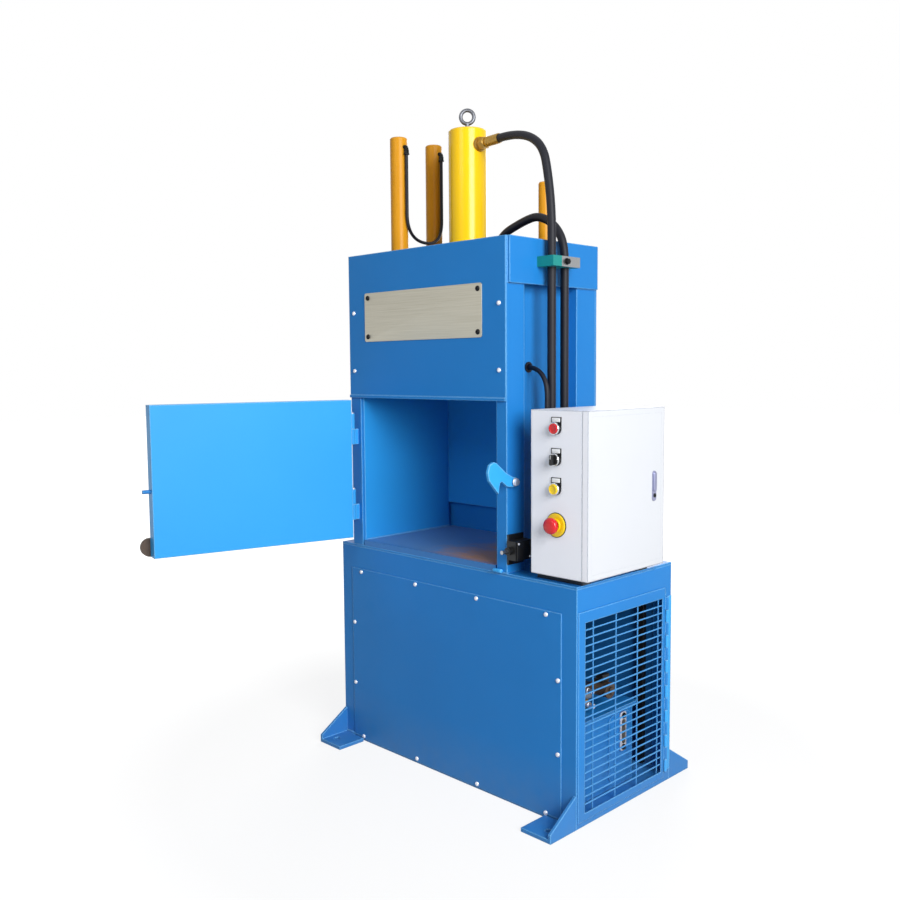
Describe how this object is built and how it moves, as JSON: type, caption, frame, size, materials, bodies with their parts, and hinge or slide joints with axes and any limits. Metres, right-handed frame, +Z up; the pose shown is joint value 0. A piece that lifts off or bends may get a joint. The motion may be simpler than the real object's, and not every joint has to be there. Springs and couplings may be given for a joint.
{
  "type": "drum crusher",
  "caption": "floor-standing hydraulic crusher for small cans: base cabinet with power pack, open-door crushing chamber, guided platen under a vertical cylinder, and side control box",
  "frame": {"origin": "on the floor at the centre of the four anchor holes", "axes": "+X to the right of the front, +Y to the back, +Z up"},
  "size_m": [1.0184, 1.1098, 1.8287],
  "materials": {
    "blue_paint": "semi-gloss enamel, mid blue",
    "worn_plate": "worn plate with light rust",
    "brushed_plate": "brushed, bare",
    "yellow_paint": "gloss enamel, yellow",
    "orange_paint": "gloss enamel, orange yellow",
    "chrome_rod": "hard chrome, polished",
    "machined_steel": "machined",
    "zinc_steel": "bright zinc",
    "hose_rubber": "matte black",
    "clamp_plastic": "moulded, teal",
    "disc_brown": "moulded, brown grey",
    "black_plastic": "moulded, black",
    "plunger_steel": "ground",
    "white_paint": "textured powder coat, white",
    "red_plastic": "gloss, red",
    "yellow_plastic": "gloss, yellow",
    "gauge_glass": "clear, aged",
    "motor_grey": "grey paint"
  },
  "bodies": {
    "frame": {"base_frame": "blue_paint", "base_front_panel": "blue_paint", "base_back_panel": "blue_paint", "base_left_panel": "blue_paint", "base_top_plate": "blue_paint", "chamber_frame": "blue_paint", "chamber_left_wall": "blue_paint", "chamber_right_wall": "blue_paint", "chamber_back_plate": "blue_paint", "cylinder_deck": "blue_paint", "front_upper_panel": "blue_paint", "frame_hinge_knuckles": "blue_paint", "oil_tank": "blue_paint", "tank_lid": "blue_paint", "foot_front_left": "blue_paint", "foot_front_right": "blue_paint", "foot_rear_left": "blue_paint", "foot_rear_right": "blue_paint", "piano_hinge_leaf": "blue_paint", "back_liner": "worn_plate", "chamber_bed": "worn_plate", "nameplate": "brushed_plate", "cylinder_barrel": "yellow_paint", "guide_sleeves": "orange_paint", "eye_bolt": "machined_steel", "cylinder_gland": "machined_steel", "valve_block": "machined_steel", "hose_fittings": "zinc_steel", "hose_clamp_cover": "zinc_steel", "fasteners": "zinc_steel", "control_back_board": "zinc_steel", "hose_press": "hose_rubber", "hose_return": "hose_rubber", "control_cable": "hose_rubber", "cable_grommets": "hose_rubber", "vent_lines": "hose_rubber", "hose_clamp_body": "clamp_plastic", "door_switch": "black_plastic", "control_bezels": "black_plastic", "control_box_shell": "white_paint", "level_gauge": "gauge_glass", "pump_motor": "motor_grey", "pump_unit": "motor_grey"},
    "press": {"platen": "worn_plate", "ram_rod": "chrome_rod", "guide_rods": "chrome_rod"},
    "main_door": {"door_panel": "blue_paint", "door_hinge_knuckles": "blue_paint", "door_catch": "machined_steel", "door_disc": "disc_brown"},
    "latch": {"latch_hook": "blue_paint"},
    "switch_pin": {"switch_plunger": "plunger_steel"},
    "box_door": {"control_box_door": "white_paint"},
    "lock": {"box_lock": "machined_steel"},
    "red_push": {"red_button": "red_plastic"},
    "yellow_push": {"yellow_button": "yellow_plastic"},
    "selector": {"selector_knob": "black_plastic"},
    "estop": {"estop_button": "red_plastic"},
    "service_hatch": {"service_door": "blue_paint", "service_mesh": "blue_paint"}
  },
  "joints": [
    {"name": "press_stroke", "type": "slide", "parent": "frame", "child": "press", "axis": [0, 0, -1], "range_m": [0, 0.36]},
    {"name": "main_door_swing", "type": "hinge", "parent": "frame", "child": "main_door", "pos_m": [-0.3645, -0.2225, 0.82], "axis": [0, 0, 1], "range_deg": [-12, 103.4]},
    {"name": "latch_swing", "type": "hinge", "parent": "frame", "child": "latch", "pos_m": [0.2285, -0.1855, 0.8268], "axis": [1, 0, 0], "range_deg": [-25, 34.5]},
    {"name": "switch_push", "type": "slide", "parent": "frame", "child": "switch_pin", "axis": [0, 1, 0], "range_m": [0, 0.006]},
    {"name": "box_door_swing", "type": "hinge", "parent": "frame", "child": "box_door", "pos_m": [0.457, -0.2045, 0.811], "axis": [0, 0, -1], "range_deg": [0, 110]},
    {"name": "lock_turn", "type": "hinge", "parent": "box_door", "child": "lock", "pos_m": [0.4745, 0.0665, 0.814], "axis": [1, 0, 0], "range_deg": [0, 90]},
    {"name": "red_button_push", "type": "slide", "parent": "frame", "child": "red_push", "axis": [0, 1, 0], "range_m": [0, 0.004]},
    {"name": "yellow_button_push", "type": "slide", "parent": "frame", "child": "yellow_push", "axis": [0, 1, 0], "range_m": [0, 0.004]},
    {"name": "selector_turn", "type": "hinge", "parent": "frame", "child": "selector", "pos_m": [0.3815, -0.2145, 0.894], "axis": [0, 1, 0], "range_deg": [-45, 45]},
    {"name": "estop_push", "type": "slide", "parent": "frame", "child": "estop", "axis": [0, 1, 0], "range_m": [0, 0.005]},
    {"name": "service_hatch_swing", "type": "hinge", "parent": "frame", "child": "service_hatch", "pos_m": [0.447, 0.1775, 0.3], "axis": [0, 0, 1], "range_deg": [0, 110]}
  ]
}
